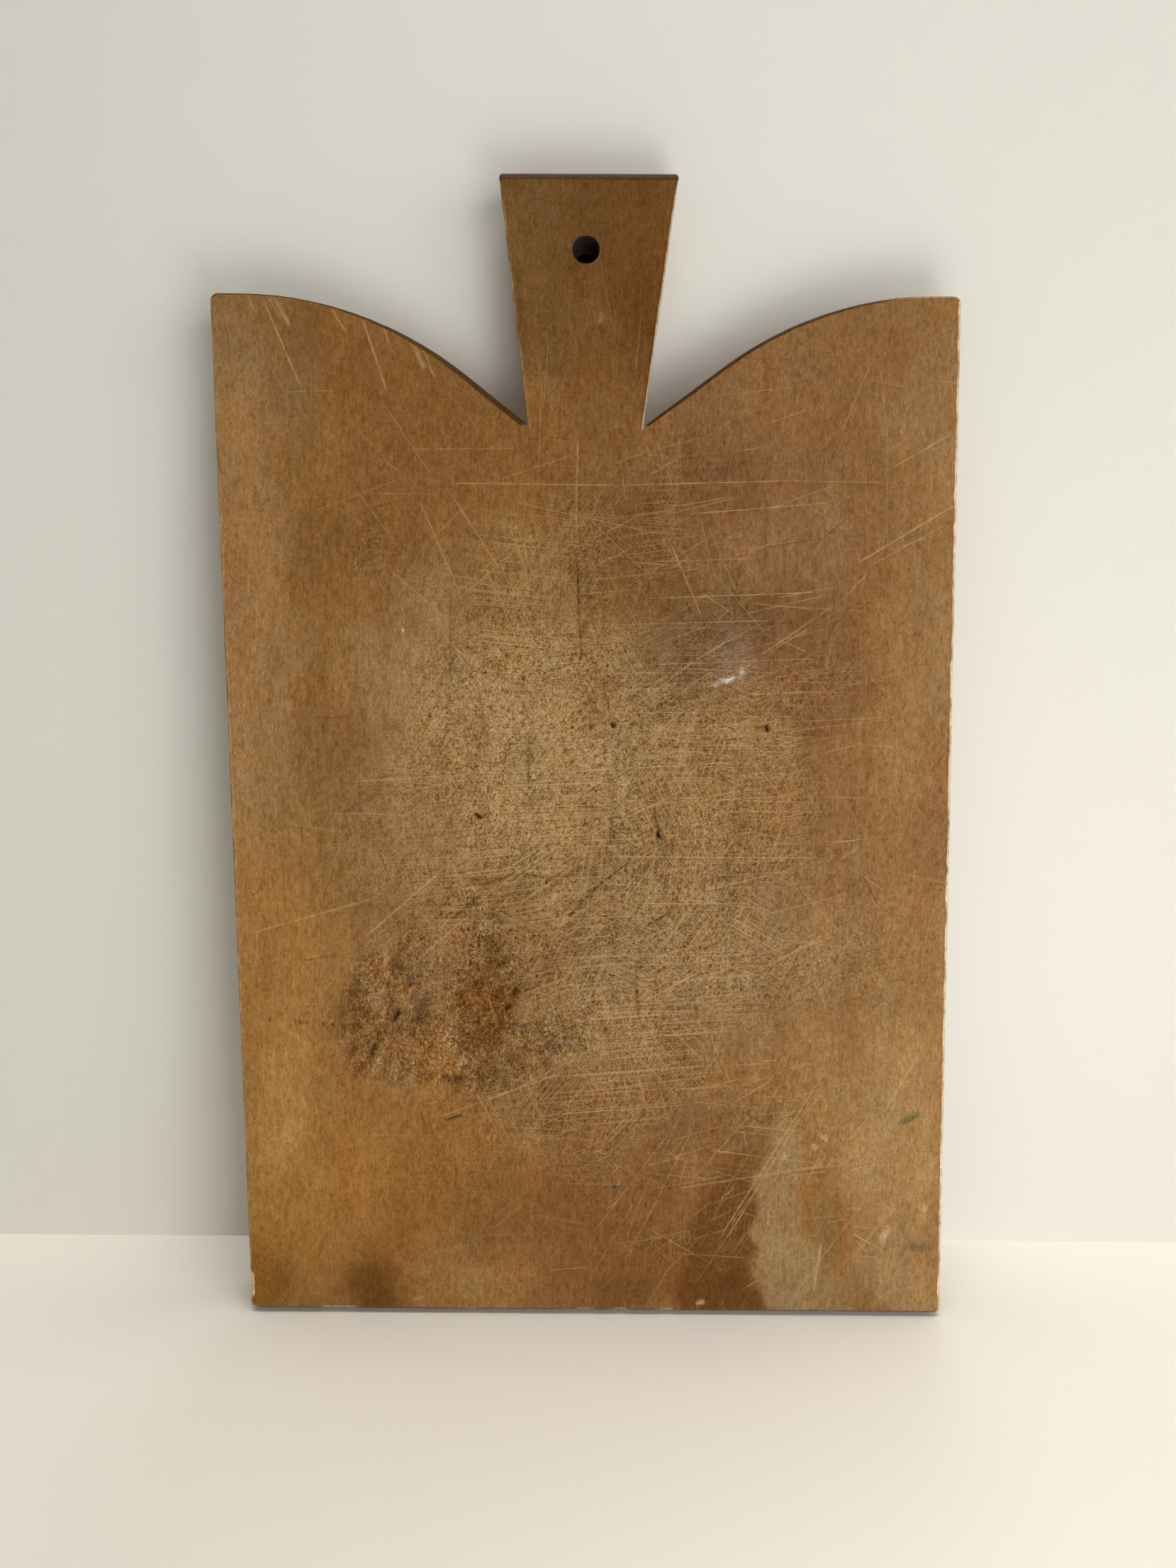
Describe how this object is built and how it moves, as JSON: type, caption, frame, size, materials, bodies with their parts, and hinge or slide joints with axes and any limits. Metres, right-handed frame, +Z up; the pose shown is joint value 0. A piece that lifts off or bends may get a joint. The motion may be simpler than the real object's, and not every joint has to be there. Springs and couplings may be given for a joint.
{
  "type": "cutting board",
  "caption": "Upright rectangular wooden cutting board with curved shoulders and a flared handle drilled for hanging.",
  "frame": {"origin": "middle of the bottom edge, halfway through the thickness", "axes": "+Z up the board towards the handle, +X across it to the right as the cutting face is seen, +Y through the thickness from the cutting face to the back"},
  "size_m": [0.3064, 0.02, 0.474],
  "materials": {
    "worn_wood": "bare, oiled by use, knife-scratched"
  },
  "bodies": {
    "root": {"plank": "worn_wood"}
  },
  "joints": []
}
